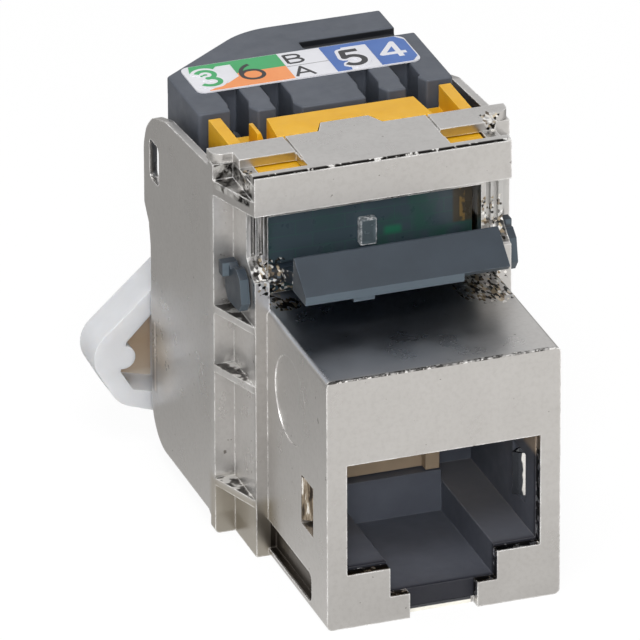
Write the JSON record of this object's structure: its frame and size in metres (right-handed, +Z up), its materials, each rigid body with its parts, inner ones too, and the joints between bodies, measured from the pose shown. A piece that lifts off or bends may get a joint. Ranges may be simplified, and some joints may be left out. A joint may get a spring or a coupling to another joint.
{
  "type": "shielded keystone network jack",
  "caption": "Shielded modular network jack with a cast shell, a sprung panel latch, a tool-free wire holder and a quarter-turn locking lever.",
  "frame": {"origin": "bottom middle of the nose's front face, the corner that the panel cut-out is laid out from", "axes": "+X to the right seen from the front, +Y from the plug side to the cable side, +Z up towards the latch"},
  "size_m": [0.022, 0.0309, 0.0248],
  "materials": {
    "cast_nickel": "satin nickel plate over a zinc casting, slightly pebbled",
    "dark_plastic": "fine matt moulding",
    "tan_plastic": "matt moulding",
    "gold_plate": "bright gold plate",
    "tin_plate": "tin plate",
    "spring_steel": "smooth rolled spring strip",
    "board_green": "glossy solder mask",
    "clear_plastic": "clear moulding",
    "yellow_plastic": "satin moulding",
    "grey_plastic": "fine matt moulding",
    "slate_plastic": "fine matt moulding",
    "milky_plastic": "milky translucent moulding",
    "label_white": "printed film",
    "label_green": "printed film",
    "label_orange": "printed film",
    "label_blue": "printed film"
  },
  "bodies": {
    "housing": {"front_housing": "cast_nickel", "top_cap": "cast_nickel", "port_liner": "dark_plastic", "contact_carrier": "tan_plastic", "ground_spring_left": "spring_steel", "ground_spring_right": "spring_steel", "circuit_board": "board_green", "status_lamp": "clear_plastic", "contact_block": "yellow_plastic", "port_contact_1": "gold_plate", "port_contact_2": "gold_plate", "port_contact_3": "gold_plate", "port_contact_4": "gold_plate", "port_contact_5": "gold_plate", "port_contact_6": "gold_plate", "port_contact_7": "gold_plate", "port_contact_8": "gold_plate", "wire_fork_top_1": "tin_plate", "wire_fork_top_2": "tin_plate", "wire_fork_top_3": "tin_plate", "wire_fork_top_4": "tin_plate", "wire_fork_bottom_1": "tin_plate", "wire_fork_bottom_2": "tin_plate", "wire_fork_bottom_3": "tin_plate", "wire_fork_bottom_4": "tin_plate"},
    "latch": {"latch": "slate_plastic"},
    "holder": {"wire_holder": "grey_plastic", "pin_label": "label_white", "label_green": "label_green", "label_orange": "label_orange", "label_blue": "label_blue", "shield_clamp": "spring_steel"},
    "lever": {"lever": "milky_plastic"}
  },
  "joints": [
    {"name": "latch_press", "type": "hinge", "parent": "housing", "child": "latch", "pos_m": [0, 0.01325, 0.017], "axis": [1, 0, 0], "range_deg": [0, 14], "stiffness_Nm_per_rad": 0.02},
    {"name": "holder_slide", "type": "slide", "parent": "housing", "child": "holder", "axis": [0, 1, 0], "range_m": [0, 0.0025]},
    {"name": "lever_turn", "type": "hinge", "parent": "holder", "child": "lever", "pos_m": [0, 0.0283, 0.0123], "axis": [0, -1, 0], "range_deg": [0, 90]}
  ],
  "couplings": [
    {"joint": "lever_turn", "follows": "holder_slide", "rad_per_m": 628.3}
  ]
}
